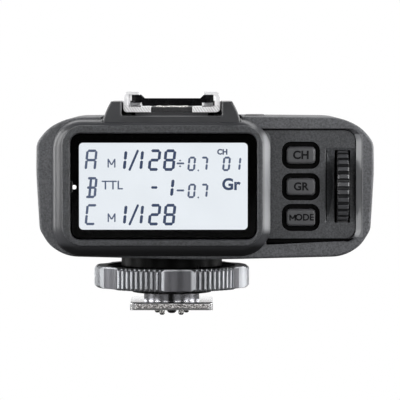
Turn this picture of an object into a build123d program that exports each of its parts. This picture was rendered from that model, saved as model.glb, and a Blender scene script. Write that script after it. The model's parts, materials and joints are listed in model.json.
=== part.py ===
from build123d import *
import os
from math import atan2, cos, degrees, hypot, pi, radians, sin, sqrt

# Hot-shoe radio flash trigger. Millimetres, +Z up. The origin is the centre of the mounting
# foot's underside, the user faces +Y at the display, and the lamp in the nose looks along +Y.

# ---------------------------------------------------------------- driving dimensions
BODY_X = 7.55                    # the housing's centre plane; foot and flash shoe are off to one side
REAR_Y, NOSE_Y = -20.0, 49.5     # housing, back to front
WALL = 1.8
BEHIND = REAR_Y - 10             # where outlines that run out behind the housing end
PROUD = 0.4                      # how far door and side panel stand out of the housing
FACET_Z = (18.6, 37.4)           # height band of door and side panel

BEZEL_Y = -22.3                  # flat rim round the display glass
BEZEL_BASE = (-26.1, 21.9, 12.9, 43.0)
BEZEL_RIM = (-23.85, 20.25, 15.2, 41.7)
BEZEL_ROLL = ((-20.3, 0.0), (-20.9, 0.12), (-21.5, 0.45), (-22.0, 1.0))   # depth, share of the way in
LENS = (-22.0, 18.9, 16.7, 39.9)
LCD_VIEW = (-20.15, 16.9, 18.8, 37.9)
LENS_Y = (-22.0, -20.8)
PANEL_Y = (-18.9, -16.7)         # button panel, user side and inner side
PANEL = (-23.6, 40.65, 16.75, 40.6)
PANEL_OPENING = (-23.8, 40.8, 16.2, 40.85)
INDICATOR = (-21.2, 28.15)

BUTTON_X = 28.67
BUTTON_Z = {"channel": 35.1, "group": 28.16, "mode": 21.37}
BUTTON = (6.4, 3.78, 0.9)        # cap width, height, corner radius
WELL = (8.4, 6.0, 2.0)
BUTTON_Y = -19.35                # cap's front
BUTTON_TRAVEL = 0.5

DIAL_Y, DIAL_Z, DIAL_R = -13.0, 28.2, 9.5
DIAL_X = (36.6, 39.2)
DIAL_RIBS = 34
SCOOP = (34.0, 35.8, 1.5)        # thumb scoop's left wall at the panel and at its deepest, and its depth
SHAFT_R = 1.2
RUN = 0.05                       # radial running clearance of shafts and pins

TEST_X, TEST_Y, TEST_R = 18.7, -8.0, 2.6
TEST_TRAVEL = 0.6
LIGHT_X = 24.6

SHOE_X = 0.2
SHOE_Y = (-19.5, -0.5)
SHOE_INNER, SHOE_OUTER, SHOE_LIP = 9.55, 10.7, 7.05    # half widths of the flash shoe
SHOE_Z = (44.55, 45.8, 48.4, 49.1)                     # base plate and lip, under and top
SHROUD_Z = (43.0, 43.8, 46.97)                         # underside, channel floor, top
SHROUD_BACK = -21.4
SHOE_SCREWS = tuple((SHOE_X + dx, y) for dx in (-6.4, 6.4) for y in (-16.4, -3.6))
SHOE_CONTACTS = (                # x, y, radius
    (SHOE_X, -9.8, 1.6), (SHOE_X - 2.15, -14.3, 0.7), (SHOE_X + 2.15, -14.3, 0.7),
    (SHOE_X - 3.0, -7.0, 0.7), (SHOE_X + 3.0, -7.0, 0.7),
)

CELL_R, CELL_LEN = 7.2, 50.5     # AA cell
CELL_X0 = -25.9
CELL_Y = (4.6, 20.9)
CELL_Z = 28.0
TRAY = (-25.8, 29.4, -4.0, 29.5, 19.4, 36.6)

HINGE_X, HINGE_Z, HINGE_R = -28.45, 19.6, 1.1
DOOR_Y = (-6.0, 31.5)
SIDE_Y = (-6.0, 36.0)
SEAM = 0.15
CASE_SCREWS = ((-18.5, -14.0), (29.5, -14.0), (-14.0, 26.0), (24.0, 26.0))

SWITCH_Y = {"power": 2.6, "af": 13.4}
KNOB_TRAVEL = 2.5
JACK_Y, USB_Y = 22.2, 31.0
JACK_R = 1.27
PORT_Z = 28.2
SIDE_PCB_X = (36.6, 37.8)

FOOT_W, FOOT_T, FOOT_HALF_L = 18.6, 1.75, 9.0          # ISO 518 accessory foot
STEM_R, STEM_FLAT = 7.1, 6.25
COLLAR_Z = (9.0, 12.6)
COLLAR_R = 11.45
RING_R, RING_Z = 17.6, (4.72, 9.6)
DISH_R = 14.7
THREAD_PITCH = 1.5
WASHER_R, WASHER_Z = 9.45, (3.55, 4.7)
PIN_TIP_Z = -1.4
DATA_PINS = ((-2.15, -4.7), (2.15, -4.7), (-3.3, 1.2), (3.3, 1.2))
LOCK_PIN_Y, LOCK_PIN_R = 7.95, 0.7

parts = {}


# ---------------------------------------------------------------- helpers
def block(x0, x1, y0, y1, z0, z1):
    """Box between two corners."""
    return Pos((x0 + x1) / 2, (y0 + y1) / 2, (z0 + z1) / 2) * Box(x1 - x0, y1 - y0, z1 - z0)


def rod_z(x, y, z0, z1, radius):
    """Upright cylinder."""
    return Pos(x, y, (z0 + z1) / 2) * Cylinder(radius, z1 - z0)


def rod_x(y, z, x0, x1, radius):
    """Cylinder along X."""
    return Pos((x0 + x1) / 2, y, z) * Rot(0, 90, 0) * Cylinder(radius, x1 - x0)


def rod_y(x, z, y0, y1, radius):
    """Cylinder along Y."""
    return Pos(x, (y0 + y1) / 2, z) * Rot(90, 0, 0) * Cylinder(radius, y1 - y0)


def user_plane(y):
    """Plane facing the user at depth y: its x runs right and its y runs up."""
    return Plane(origin=(0, y, 0), x_dir=(1, 0, 0), z_dir=(0, -1, 0))


def rounded(box, corner):
    """Rounded rectangle (x0, x1, z0, z1) for user_plane."""
    x0, x1, z0, z1 = box
    return Pos((x0 + x1) / 2, (z0 + z1) / 2) * RectangleRounded(x1 - x0, z1 - z0, corner)


def panel(box, corner, y_user, y_inner):
    """Rounded plate that faces the user."""
    return extrude(user_plane(y_inner) * rounded(box, corner), y_inner - y_user)


def grown(box, margin):
    """The rectangle (x0, x1, z0, z1) with every side moved out by margin."""
    x0, x1, z0, z1 = box
    return (x0 - margin, x1 + margin, z0 - margin, z1 + margin)


def centred(x, z, width, height):
    """Rectangle (x0, x1, z0, z1) about a centre."""
    return (x - width / 2, x + width / 2, z - height / 2, z + height / 2)


def both_sides(half):
    """A chain of curves right of the centre line, and its mirror image."""
    return half + [mirror(curve, about=Plane.YZ) for curve in half]


def double_d(radius, flat):
    """Disc with two flats that face left and right."""
    return Circle(radius) & Rectangle(2 * flat, 3 * radius)


# ---------------------------------------------------------------- housing shape
def mirrored_outline(points, radii):
    """Closed outline, symmetric about x = 0, from its corners on and right of the centre line."""
    mirror_points = [(-x, y) for x, y in reversed(points) if x > 0]
    mirror_radii = [radius for (x, y), radius in zip(reversed(points), reversed(radii)) if x > 0]
    return make_face(FilletPolyline(*points, *mirror_points, radius=radii + mirror_radii, close=True))


def rear_outline():
    """The housing seen from behind: low crown, corners cut off in soft facets, bowed sides."""
    corners = [
        (0, 43.8), (29.8, 43.5), (34.5, 41.2), (37.1, 37.9), (37.2, 31.5),
        (36.45, 18.7), (34.35, 15.3), (30.6, 12.8), (0, 12.05),
    ]
    return mirrored_outline(corners, [250, 12.0, 9.0, 3.5, 60, 4.0, 7.0, 9.0, 250])


def plan_outline():
    """The housing seen from above: straight sides and a rounded, bowed nose."""
    corners = [(0, NOSE_Y + 1.2), (37.9, 46.6), (38.5, BEHIND)]
    return mirrored_outline(corners, [150, 12.0, 1.0])


def side_outline():
    """The housing seen from +X: the top falls and the belly rises towards the nose."""
    corners = [(BEHIND, 45), (10, 45), (NOSE_Y, 35.9), (NOSE_Y, 14.6), (30, 11.0), (BEHIND, 11.0)]
    radii = [1.0, 90, 6.5, 6.0, 40, 1.0]
    return make_face(FilletPolyline(*corners, radius=radii, close=True))


def body_solid(inset=0.0, rim_radius=0.0):
    """Solid inside all three outlines, each drawn in by inset, or let out if it is negative."""
    rear, plan, side = rear_outline(), plan_outline(), side_outline()
    if inset:
        rear, plan, side = (offset(face, amount=-inset) for face in (rear, plan, side))
    side_plane = Plane(origin=(0, 0, 0), x_dir=(0, 1, 0), z_dir=(1, 0, 0))
    front = NOSE_Y + 5
    prism = extrude(user_plane(front) * Pos(BODY_X, 0) * rear, front - REAR_Y - inset)
    if rim_radius:
        prism = fillet(prism.faces().sort_by(Axis.Y)[0].outer_wire().edges(), rim_radius)
    footprint = extrude(Plane.XY * Pos(BODY_X, 0) * plan, 60)
    profile = extrude(side_plane * side, 60, both=True)
    return prism & footprint & profile


def wall_patch(y_range, on_left):
    """Piece of side wall that stands PROUD of the housing between FACET_Z heights."""
    skin = body_solid(-PROUD) - body_solid(1.4)
    x_range = (-45, -20) if on_left else (35, 60)
    return skin & block(*x_range, *y_range, *FACET_Z)


def main_housing():
    shell = body_solid(rim_radius=0.6) - body_solid(WALL)

    # rear opening, its right wall leaning out towards the user
    x0, x1, z0, z1 = PANEL_OPENING
    inner_edge = user_plane(REAR_Y + 0.9) * rounded(PANEL_OPENING, 2.6)
    outer_edge = user_plane(REAR_Y - 0.05) * rounded((x0, x1 + 1.3, z0 - 0.2, z1 + 0.2), 3.0)
    shell -= loft([inner_edge, outer_edge], ruled=True)
    shell -= panel(PANEL_OPENING, 2.6, REAR_Y, REAR_Y + 4)
    groove = make_face(Polyline((21, z0 + 2), (21, z0 - 0.8), (38.2, z0), (38.2, z0 + 2), close=True))
    shell -= extrude(user_plane(REAR_Y + 4) * groove, 5)

    # seats for shroud, collar and foot plate
    shell -= block(-15.3, 15.7, REAR_Y - 1, 5.2, SHROUD_Z[0], 50)
    shell -= block(SHOE_X - 8.2, SHOE_X + 8.2, -18.6, -1.4, 40, 50)
    shell -= rod_z(0, 0, 11, COLLAR_Z[1], COLLAR_R + 0.1)
    shell += rod_z(0, 0, 13.2, 14.6, 11.0) & body_solid(0.5)
    shell -= rod_z(0, 0, 11, 20, STEM_R + 0.1)
    for angle in (45, 135, 225, 315):
        shell -= rod_z(9.3 * cos(radians(angle)), 9.3 * sin(radians(angle)), 11, 20, 0.95)

    # battery opening with its two hinge knuckles
    shell -= block(-45, -24, DOOR_Y[0] - SEAM, DOOR_Y[1] + SEAM, HINGE_Z, FACET_Z[1] + SEAM)
    shell -= rod_y(HINGE_X, HINGE_Z, DOOR_Y[0] - SEAM, DOOR_Y[1] + SEAM, HINGE_R + 0.25)
    for y0, y1 in ((DOOR_Y[0] - SEAM - 0.5, DOOR_Y[0] + 3), (DOOR_Y[1] - 3, DOOR_Y[1] + SEAM + 0.5)):
        shell += rod_y(HINGE_X, HINGE_Z, y0, y1, HINGE_R)
    shell -= rod_y(HINGE_X, HINGE_Z, DOOR_Y[0] - 1.2, DOOR_Y[1] + 1.2, 0.5)

    # side panel opening, test button and status light holes, lamp window
    shell -= block(35, 60, SIDE_Y[0] - SEAM, SIDE_Y[1] + SEAM, FACET_Z[0] - SEAM, FACET_Z[1] + SEAM)
    shell -= rod_z(TEST_X, TEST_Y, 40, 50, TEST_R + 0.12)
    shell -= rod_z(LIGHT_X, TEST_Y, 40, 50, 1.0)
    shell -= panel(centred(BODY_X, 26.0, 18.2, 9.2), 4.4, NOSE_Y - 8, NOSE_Y + 1)

    # case screw holes with sunk heads
    for x, y in CASE_SCREWS:
        shell -= rod_z(x, y, 11, 16, 1.05)
        shell -= rod_z(x, y, 11, 13.35, 2.0)
    return shell


# ---------------------------------------------------------------- display side
def bezel_section(depth, share):
    """Outline of the display surround at a depth: rolled all round but straight on the right."""
    straight = (BEZEL_ROLL[0][0] - depth) / (BEZEL_ROLL[0][0] - BEZEL_ROLL[-1][0])
    shares = (share, straight, share, share)
    box = tuple(a + (b - a) * way for a, b, way in zip(BEZEL_BASE, BEZEL_RIM, shares))
    return user_plane(depth) * rounded(box, 6.6 - 2.2 * share)


def dial_scoop():
    """Shallow hollow that lets a thumb reach the dial: a drum cut with a leaning left end."""
    start, deep, depth = SCOOP
    half_chord = 8.35
    radius = (half_chord ** 2 + depth ** 2) / (2 * depth)
    drum = rod_x(PANEL_Y[0] - radius + depth, 28.4, start, 41, radius)
    lean = (deep - start) / depth
    corners = [(start - lean * 3, PANEL_Y[0] - 3), (41, PANEL_Y[0] - 3), (41, -15), (start + lean * 3.9, -15)]
    return drum & extrude(Plane.XY * make_face(Polyline(*corners, close=True)), 60)


def rear_cover():
    """Button panel and display bezel, moulded as one piece."""
    plate = panel(PANEL, 2.4, PANEL_Y[0], PANEL_Y[1])
    plate += panel((PANEL[0], BEZEL_BASE[1], PANEL[2], PANEL[3]), 2.0, REAR_Y, PANEL_Y[1])
    plate += panel(grown(PANEL, 1.0), 4.0, REAR_Y + WALL + 0.05, PANEL_Y[1]) & body_solid(WALL + 0.1)
    plate += panel(BEZEL_BASE, 6.6, BEZEL_ROLL[0][0], REAR_Y)
    plate += loft([bezel_section(depth, share) for depth, share in BEZEL_ROLL])
    rim = panel(BEZEL_RIM, 4.4, BEZEL_Y, -21.6)
    plate += fillet(rim.faces().sort_by(Axis.Y)[0].outer_wire().edges(), 0.24)

    # glass pocket with a flared mouth, ledge and display aperture
    plate -= panel(grown(LENS, 0.06), 2.25, BEZEL_Y - 1, -20.6)
    mouth = [user_plane(y) * rounded(grown(LENS, out), 2.2 + out) for y, out in ((-22.0, 0.06), (-22.4, 0.4))]
    plate -= loft(mouth, ruled=True)
    plate -= panel(grown(LCD_VIEW, 0.15), 0.9, -21, -15)
    plate -= panel(grown(LCD_VIEW, 0.6), 0.5, -20.0, -15)
    plate -= rod_y(*INDICATOR, -21, -15, 0.52)
    plate -= shroud_envelope(0.1)

    # button wells and dial recess
    for z in BUTTON_Z.values():
        plate -= panel(centred(BUTTON_X, z, WELL[0], WELL[1]), WELL[2], -20, -17.8)
        plate -= panel(centred(BUTTON_X, z, BUTTON[0] + 0.24, BUTTON[1] + 0.24), 0.8, -20, -15)
    plate -= dial_scoop()
    plate -= panel((36.1, 39.55, 20.3, 36.1), 0.6, -20, -15)
    plate -= rod_x(DIAL_Y, DIAL_Z, 36.1, 39.55, DIAL_R + 0.35)

    # screw bosses along the lower edge
    for x, y in CASE_SCREWS[:2]:
        plate += block(x - 2.6, x + 2.6, PANEL_Y[1] - 0.1, y + 2.6, 15.6, 18.0) & body_solid(WALL + 0.1)
        plate -= rod_z(x, y, 10, 17.6, 0.95)
    return plate


def display_window():
    glass = panel(LENS, 2.2, LENS_Y[0], LENS_Y[1])
    front = glass.faces().sort_by(Axis.Y)[0].outer_wire().edges()
    return chamfer(front, 0.3)


def lens_mask():
    """Black film behind the glass, open over the display and the indicator."""
    film = panel(grown(LENS, -0.1), 2.1, LENS_Y[1], -20.62)
    film -= panel(LCD_VIEW, 0.9, -22, -20)
    return film - rod_y(*INDICATOR, -22, -20, 0.55)


def lcd_glass():
    return panel(grown(LCD_VIEW, 0.35), 0.4, -19.95, -18.8)


def lcd_backlight():
    return panel(grown(LCD_VIEW, 0.35), 0.4, -18.75, -16.6)


def lcd_frame():
    """Thin tray that holds glass and light guide together."""
    frame = panel(grown(LCD_VIEW, 0.55), 0.5, -19.95, -15.7)
    return frame - panel(grown(LCD_VIEW, 0.4), 0.4, -21, -16.55)


def lcd_ribbon():
    """Flat flex from the display down to the circuit board."""
    path = FilletPolyline((-15.6, 35.5), (-15.6, 37.6), (-13.5, 37.6), (-13.5, 35.5), radius=0.7)
    return extrude(Plane(origin=(-8, 0, 0), x_dir=(0, 1, 0), z_dir=(1, 0, 0)) * trace(path, 0.12), 14)


def indicator_pipe():
    return rod_y(*INDICATOR, -20.6, -13.45, 0.48)


def push_button(z):
    """Cap with a guide flange and a stem that works the switch behind it."""
    width, height, corner = BUTTON
    cap = panel(centred(BUTTON_X, z, width, height), corner, BUTTON_Y, -16.5)
    cap = fillet(cap.faces().sort_by(Axis.Y)[0].outer_wire().edges(), 0.55)
    cap += panel(centred(BUTTON_X, z, width + 1.1, height + 1.1), 1.0, -16.6, -15.9)
    return cap + rod_y(BUTTON_X, z, -16.0, -14.4, 1.0)


def tact_switches():
    """Three surface-mount switches, each with a sunk dome for its button's stem."""
    bodies = Part()
    for z in BUTTON_Z.values():
        body = panel(centred(BUTTON_X, z, 5.0, 4.6), 0.4, -15.2, -13.4)
        bodies += body - rod_y(BUTTON_X, z, -16, -13.8, 1.25)
    return bodies


def main_pcb():
    board = panel((-26.0, 32.6, 19.2, 39.4), 1.0, -13.4, -11.8)
    for x, z in ((-23.6, 36.9), (-23.6, 21.6), (21.5, 37.2)):
        board -= rod_y(x, z, -14, -11, 1.1)
    return board


def pcb_components():
    """Chips and power parts on the main board's inner side, and the status LED."""
    group = Part()
    for x0, x1, z0, z1, height in (
        (-6, 3, 24, 33, 1.2), (-16, -11, 27, 31, 1.0), (6, 10, 33, 36.2, 1.4),
        (7, 12, 23, 28, 2.4), (-21, -18.4, 24, 30, 1.6), (20, 26, 22, 27, 1.8),
    ):
        group += block(x0, x1, -11.8, -11.8 + height, z0, z1)
    return group + block(LIGHT_X - 1, LIGHT_X + 1, TEST_Y - 0.7, TEST_Y + 0.7, 35.0, 36.0)


# ---------------------------------------------------------------- dial
def dial_wheel():
    """Ribbed thumb wheel on a shaft along X."""
    step = 2 * pi / DIAL_RIBS
    root = DIAL_R - 0.55
    corners = []
    for rib in range(DIAL_RIBS):
        for share, radius in ((0.0, root), (0.30, root), (0.42, DIAL_R), (0.88, DIAL_R)):
            angle = (rib + share) * step
            corners.append((radius * cos(angle), radius * sin(angle)))
    face = make_face(Polyline(*corners, close=True))
    dial_plane = Plane(origin=(DIAL_X[0], DIAL_Y, DIAL_Z), x_dir=(0, 1, 0), z_dir=(1, 0, 0))
    wheel = extrude(dial_plane * face, DIAL_X[1] - DIAL_X[0])
    blank = rod_x(DIAL_Y, DIAL_Z, *DIAL_X, DIAL_R)
    wheel &= chamfer(blank.edges().filter_by(GeomType.CIRCLE), 0.35)
    dished = rod_x(DIAL_Y, DIAL_Z, DIAL_X[0] - 1, DIAL_X[0] + 0.6, 7.2)
    hub = rod_x(DIAL_Y, DIAL_Z, DIAL_X[0], DIAL_X[0] + 0.7, 3.0)
    return wheel - (dished - hub) - rod_x(DIAL_Y, DIAL_Z, 30, 45, SHAFT_R)


def dial_shaft():
    return rod_x(DIAL_Y, DIAL_Z, 34.2, 41.3, SHAFT_R)


def encoder_body():
    """Rotary encoder on the board's right edge, drilled for the shaft."""
    body = block(32.6, 36.3, -16.3, -9.6, 23.2, 33.2)
    return body - rod_x(DIAL_Y, DIAL_Z, 34.0, 37, SHAFT_R + RUN)


def dial_cradle():
    """Bearing lug behind the panel for the shaft's far end."""
    lug = block(39.7, 41.6, -16.7, -9.6, 24.2, 32.2)
    return lug - rod_x(DIAL_Y, DIAL_Z, 39, 42, SHAFT_R + RUN)


# ---------------------------------------------------------------- top: test button, light, flash shoe
def test_button():
    cap = rod_z(TEST_X, TEST_Y, 41.0, 44.05, TEST_R)
    cap = fillet(cap.faces().sort_by(Axis.Z)[-1].edges(), 0.8)
    cap += rod_z(TEST_X, TEST_Y, 40.5, 41.3, TEST_R + 0.9)
    return cap + rod_z(TEST_X, TEST_Y, 37.0, 40.6, 1.0)


def test_switch():
    body = block(TEST_X - 2.3, TEST_X + 2.3, TEST_Y - 2.3, TEST_Y + 2.3, 35.0, 38.0)
    return body - rod_z(TEST_X, TEST_Y, 36.3, 39, 1.2)


def status_pipe():
    pipe = rod_z(LIGHT_X, TEST_Y, 36.1, 43.5, 0.95)
    return pipe + rod_z(LIGHT_X, TEST_Y, 40.6, 41.3, 1.5)


def shroud_envelope(margin=0.0):
    """Outer shape of the raised plinth round the flash shoe."""
    bottom, top = 42.1 - margin, SHROUD_Z[2]
    sides = [
        ThreePointArc((15.3 + margin, bottom), (14.5 + margin, 44.6), (13.3 + margin, top)),
    ]
    outline = make_face(both_sides(sides) + [
        Line((-15.3 - margin, bottom), (15.3 + margin, bottom)),
        Line((-13.3 - margin, top), (13.3 + margin, top)),
    ])
    solid = extrude(user_plane(5.0) * Pos(SHOE_X, 0) * outline, 5.0 - SHROUD_BACK + margin)
    ramp = make_face(Polyline((-25, 40), (5.0, 40), (5.0, 43.9), (2.4, 46.4), (1.2, 50), (-25, 50), close=True))
    return solid & extrude(Plane(origin=(0, 0, 0), x_dir=(0, 1, 0), z_dir=(1, 0, 0)) * ramp, 30, both=True)


def above_seam(edge):
    """True for an edge that isn't on the shroud's buried lower rim."""
    return edge.center().Z > 43.2


def shoe_shroud():
    shroud = shroud_envelope()
    shroud -= block(-20, 20, REAR_Y, 10, 40, SHROUD_Z[0])
    notch = block(SHOE_X - 11.0, SHOE_X + 11.0, -30, 1.0, SHROUD_Z[1], 60)
    shroud -= fillet(notch.edges().filter_by(Axis.Y).group_by(Axis.Z)[0], 0.5)
    shroud = fillet(shroud.faces().sort_by(Axis.Y)[0].outer_wire().edges().filter_by(above_seam), 0.4)
    shroud += block(SHOE_X - 8.0, SHOE_X + 8.0, -18.4, -1.6, 41.8, SHOE_Z[0])
    shroud -= block(SHOE_X - 3.9, SHOE_X + 3.9, -15.6, -4.0, 40, 50)
    for x, y in SHOE_SCREWS:
        shroud -= rod_z(x, y, 40, 50, 0.9)
    return shroud


def shoe_rails():
    """Stamped flash shoe: base plate, two side walls and two inward lips."""
    base_z0, base_z1, lip_z0, lip_z1 = SHOE_Z
    front, back = SHOE_Y[1], SHOE_Y[0]
    outer = block(SHOE_X - SHOE_OUTER, SHOE_X + SHOE_OUTER, back, front, base_z0, lip_z1)
    outer = fillet(outer.edges().filter_by(Axis.Y).group_by(Axis.Z)[-1], 1.3)
    outer = fillet(outer.edges().filter_by(Axis.Y).group_by(Axis.Z)[0], 1.0)
    channel = block(SHOE_X - SHOE_INNER, SHOE_X + SHOE_INNER, back - 1, front + 1, base_z1, lip_z0)
    outer -= fillet(channel.edges().filter_by(Axis.Y).group_by(Axis.Z)[-1], 0.4)
    outer -= block(SHOE_X - SHOE_LIP, SHOE_X + SHOE_LIP, back - 1, front + 1, base_z1, 60)
    outer -= block(SHOE_X - 4.6, SHOE_X + 4.6, -16.6, -3.0, 40, 60)
    outer -= block(SHOE_X - 4.6, SHOE_X + 4.6, back - 1, -16.6, 40, 60)
    for x, y in SHOE_SCREWS:
        outer -= rod_z(x, y, 40, 50, 1.0)
        outer -= Pos(x, y, base_z1 - 0.45) * Cone(1.0, 1.9, 0.9)
    return outer


def shoe_insulator():
    """Plastic block that carries the flash contacts."""
    block_body = block(SHOE_X - 4.5, SHOE_X + 4.5, -16.5, -3.1, SHOE_Z[0], SHOE_Z[1] - 0.1)
    block_body += block(SHOE_X - 3.8, SHOE_X + 3.8, -15.5, -4.1, 42.2, SHOE_Z[0] + 0.1)
    for x, y, radius in SHOE_CONTACTS:
        block_body -= rod_z(x, y, 40, 50, radius)
    return block_body


def shoe_contacts():
    """Centre contact and four data contacts, with rounded tops."""
    group = Part()
    for x, y, radius in SHOE_CONTACTS:
        pin = rod_z(x, y, 42.0, SHOE_Z[1] + 0.1, radius)
        group += fillet(pin.faces().sort_by(Axis.Z)[-1].edges(), 0.18)
    return group


def shoe_leaf_springs():
    """Two sprung strips along the channel floor that take up the flash foot's play."""
    side_plane = Plane(origin=(-1.2, 0, 0), x_dir=(0, 1, 0), z_dir=(1, 0, 0))
    arch = make_face([
        ThreePointArc((-17.6, 45.8), (-12.5, 46.4), (-7.4, 45.8)),
        ThreePointArc((-17.6, 46.05), (-12.5, 46.65), (-7.4, 46.05)),
        Line((-17.6, 45.8), (-17.6, 46.05)), Line((-7.4, 45.8), (-7.4, 46.05)),
    ])
    strip = extrude(side_plane * arch, 2.4)
    strip += block(-1.2, 1.2, -7.4, -5.4, 45.8, 46.05)
    return Part() + [Pos(SHOE_X + side * 7.9, 0, 0) * strip for side in (-1, 1)]


def shoe_stop():
    """Bar that a flash foot comes up against, its ends raised to fill the channel."""
    shoulders = [(9.3, SHROUD_Z[1]), (9.3, 48.35), (7.1, 48.35), (6.3, 47.55)]
    outline = Polyline(*shoulders, *[(-x, z) for x, z in reversed(shoulders)], close=True)
    return extrude(user_plane(0.95) * Pos(SHOE_X, 0) * make_face(outline), 1.4)


def shoe_screws():
    group = Part()
    for x, y in SHOE_SCREWS:
        screw = rod_z(x, y, 42.2, SHOE_Z[1] - 0.8, 0.9)
        screw += Pos(x, y, SHOE_Z[1] - 0.47) * Cone(1.0, 1.85, 0.86)
        screw -= block(x - 1.2, x + 1.2, y - 0.18, y + 0.18, SHOE_Z[1] - 0.4, 50)
        screw -= block(x - 0.18, x + 0.18, y - 1.2, y + 1.2, SHOE_Z[1] - 0.4, 50)
        group += screw
    return group


# ---------------------------------------------------------------- battery side
def battery_door():
    """Flap over the cell bay, hinged along its lower edge."""
    door = wall_patch(DOOR_Y, on_left=True) & block(-45, -20, *DOOR_Y, HINGE_Z, FACET_Z[1])
    door += rod_y(HINGE_X, HINGE_Z, DOOR_Y[0] + 3.15, DOOR_Y[1] - 3.15, HINGE_R)
    for y0, y1 in ((DOOR_Y[0] - 1, DOOR_Y[0] + 3.15), (DOOR_Y[1] - 3.15, DOOR_Y[1] + 1)):
        door -= rod_y(HINGE_X, HINGE_Z, y0, y1, HINGE_R + 0.25)
    door -= rod_y(HINGE_X, HINGE_Z, DOOR_Y[0] - 2, DOOR_Y[1] + 2, 0.5 + RUN)
    for row in range(5):
        groove_z = 33.2 + 0.75 * row
        door -= block(-31, -29.62, 8.5, 17.0, groove_z, groove_z + 0.35)
    return door


def door_hinge_pin():
    return rod_y(HINGE_X, HINGE_Z, DOOR_Y[0] - 1.1, DOOR_Y[1] + 1.1, 0.5)


def door_contact():
    """Metal bridge on the door that joins the two cells."""
    bridge = block(-27.9, -27.1, CELL_Y[0] - 4, CELL_Y[1] + 4, CELL_Z - 3.5, CELL_Z + 3.5)
    for y in CELL_Y:
        bridge += rod_x(y, CELL_Z, -27.2, -26.1, 2.2)
    return bridge - body_skin_below_door()


def body_skin_below_door():
    """Everything outside the door's inner face."""
    return block(-45, -20, -20, 45, 10, 50) - body_solid(1.4)


def battery_cells():
    """Two AA cells side by side, one turned round."""
    group = Part()
    for y, flipped in ((CELL_Y[0], False), (CELL_Y[1], True)):
        nub = 1.2
        can = (CELL_X0, CELL_X0 + CELL_LEN - nub) if flipped else (CELL_X0 + nub, CELL_X0 + CELL_LEN)
        end = (can[1] - 0.1, can[1] + nub) if flipped else (can[0] - nub, can[0] + 0.1)
        group += rod_x(y, CELL_Z, *can, CELL_R) + rod_x(y, CELL_Z, *end, 2.7)
    return group


def battery_tray():
    """Open-ended box with a round channel for each cell."""
    tray = block(*TRAY)
    for y in CELL_Y:
        tray -= rod_x(y, CELL_Z, TRAY[0] - 1, TRAY[1] - 1.6, CELL_R + 0.35)
    tray -= block(TRAY[0] - 1, TRAY[1] - 5, CELL_Y[0], CELL_Y[1], CELL_Z - 2, CELL_Z + 2)
    for x, y in CASE_SCREWS[2:]:
        tray += block(x - 2.5, x + 2.5, y - 2.5, y + 2.5, 14.6, TRAY[4] + 0.6)
        tray -= rod_z(x, y, 10, 18.0, 0.95)
    return tray


def battery_contacts():
    """Flat plates at the closed end of the bay."""
    group = Part()
    for y in CELL_Y:
        group += block(TRAY[1] - 2.1, TRAY[1] - 1.6, y - 4.5, y + 4.5, CELL_Z - 4.5, CELL_Z + 4.5)
    return group


def battery_springs():
    """Coil springs between the plates and the cells."""
    group = Part()
    for y in CELL_Y:
        start = CELL_X0 + CELL_LEN + 0.35
        helix = Pos(start, y, CELL_Z) * Rot(0, 90, 0) * Helix(pitch=0.85, height=1.75, radius=2.4)
        wire = Plane(origin=helix @ 0, z_dir=helix % 0) * Circle(0.25)
        group += sweep(wire, path=helix)
    return group


# ---------------------------------------------------------------- switch and socket side
def side_panel():
    side = wall_patch(SIDE_Y, on_left=False)
    for y in SWITCH_Y.values():
        side -= block(40, 50, y - 2.1 - KNOB_TRAVEL, y + 2.1, PORT_Z - 1.6, PORT_Z + 1.6)
    side -= rod_x(JACK_Y, PORT_Z, 40, 50, 2.5)
    usb_hole = Pos(USB_Y, PORT_Z) * RectangleRounded(9.3, 3.5, 1.6)
    side -= extrude(Plane(origin=(40, 0, 0), x_dir=(0, 1, 0), z_dir=(1, 0, 0)) * usb_hole, 10)
    return side


def switch_bodies():
    """Two slide switches soldered to the side board."""
    group = Part()
    for y in SWITCH_Y.values():
        middle = y - KNOB_TRAVEL / 2
        body = block(SIDE_PCB_X[1], 41.4, middle - 4.4, middle + 4.4, PORT_Z - 2.7, PORT_Z + 2.7)
        group += body - block(39.4, 42, middle - 2.5, middle + 2.5, PORT_Z - 0.9, PORT_Z + 0.9)
    return group


def slide_knob(y):
    """Knob with three grip ribs, a flange behind the panel and a tongue in its switch."""
    knob = block(42.3, 44.2, y - 1.9, y + 1.9, PORT_Z - 1.4, PORT_Z + 1.4)
    for rib in (-1.35, 0, 1.35):
        knob += block(44.1, 44.75, y + rib - 0.35, y + rib + 0.35, PORT_Z - 1.4, PORT_Z + 1.4)
    knob += block(41.7, 42.7, y - 2.9, y + 2.9, PORT_Z - 2.4, PORT_Z + 2.4)
    return knob + block(39.7, 41.8, y - 1.0, y + 1.0, PORT_Z - 0.7, PORT_Z + 0.7)


def sync_jack():
    """2.5 mm sync socket: square body and round nose."""
    jack = block(SIDE_PCB_X[1], 42.8, JACK_Y - 3, JACK_Y + 3, PORT_Z - 2.6, PORT_Z + 2.6)
    jack += rod_x(JACK_Y, PORT_Z, 42.7, 44.7, 2.4)
    return jack - rod_x(JACK_Y, PORT_Z, 38.7, 50, JACK_R)


def usb_socket():
    """Small data socket: rounded metal sleeve with a tongue inside."""
    plane = Plane(origin=(SIDE_PCB_X[1], 0, 0), x_dir=(0, 1, 0), z_dir=(1, 0, 0))
    sleeve = extrude(plane * Pos(USB_Y, PORT_Z) * RectangleRounded(8.94, 3.16, 1.5), 6.8)
    cavity = extrude(plane * Pos(USB_Y, PORT_Z) * RectangleRounded(8.3, 2.5, 1.2), 10)
    sleeve -= cavity & block(39.0, 60, 0, 60, 0, 60)
    return sleeve + block(38.9, 43.6, USB_Y - 3.3, USB_Y + 3.3, PORT_Z - 0.35, PORT_Z + 0.35)


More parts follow.
